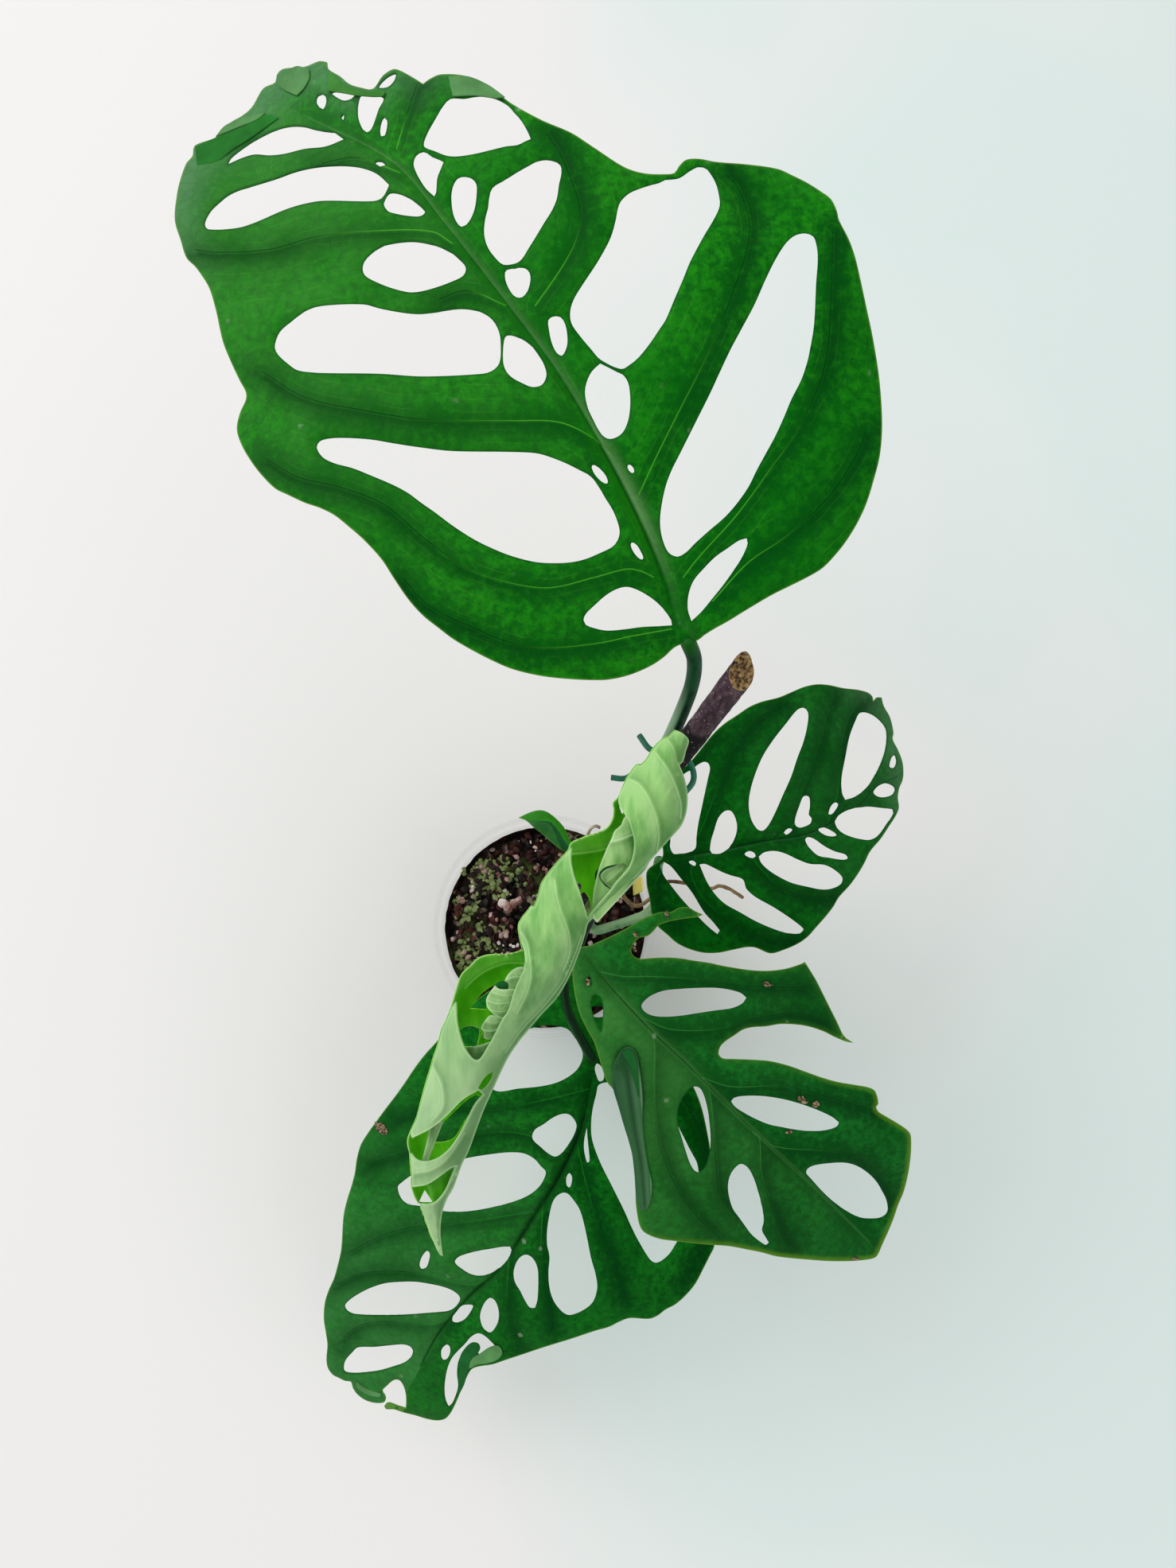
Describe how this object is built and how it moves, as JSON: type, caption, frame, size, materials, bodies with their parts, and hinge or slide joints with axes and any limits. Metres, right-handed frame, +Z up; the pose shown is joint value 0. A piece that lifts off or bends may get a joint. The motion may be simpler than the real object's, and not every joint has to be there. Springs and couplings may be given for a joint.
{
  "type": "potted monstera",
  "caption": "Climbing houseplant in a clear nursery pot, tied to a stake, with pierced leaves spreading around it and a new leaf still rolled up.",
  "frame": {"origin": "centre of the pot's underside", "axes": "+Z up the pot's axis, +Y towards the top of the picture, where the largest leaf hangs, +X to its right"},
  "size_m": [0.3022, 0.5587, 0.408],
  "materials": {
    "pot": "gloss",
    "potting_mix": "matte",
    "stake": "matte",
    "stem": "satin",
    "petiole": "satin",
    "leaf_big": "satin",
    "leaf_dark": "satin",
    "leaf_lower": "satin",
    "leaf_new": "satin",
    "tie": "gloss",
    "label": "matte",
    "root": "matte"
  },
  "bodies": {
    "root": {"pot": "pot", "potting_mix": "potting_mix", "stake": "stake", "stem": "stem", "petiole_big": "petiole", "petiole_new": "petiole", "petiole_right": "petiole", "petiole_lower_right": "petiole", "petiole_lower_left": "petiole", "petiole_small": "petiole", "leaf_big": "leaf_big", "leaf_right": "leaf_dark", "leaf_lower_right": "leaf_lower", "leaf_lower_left": "leaf_lower", "leaf_small": "leaf_lower", "leaf_new": "leaf_new", "tie_upper": "tie", "tie_lower": "tie", "plant_label": "label", "root_right": "root", "root_back": "root"}
  },
  "joints": []
}
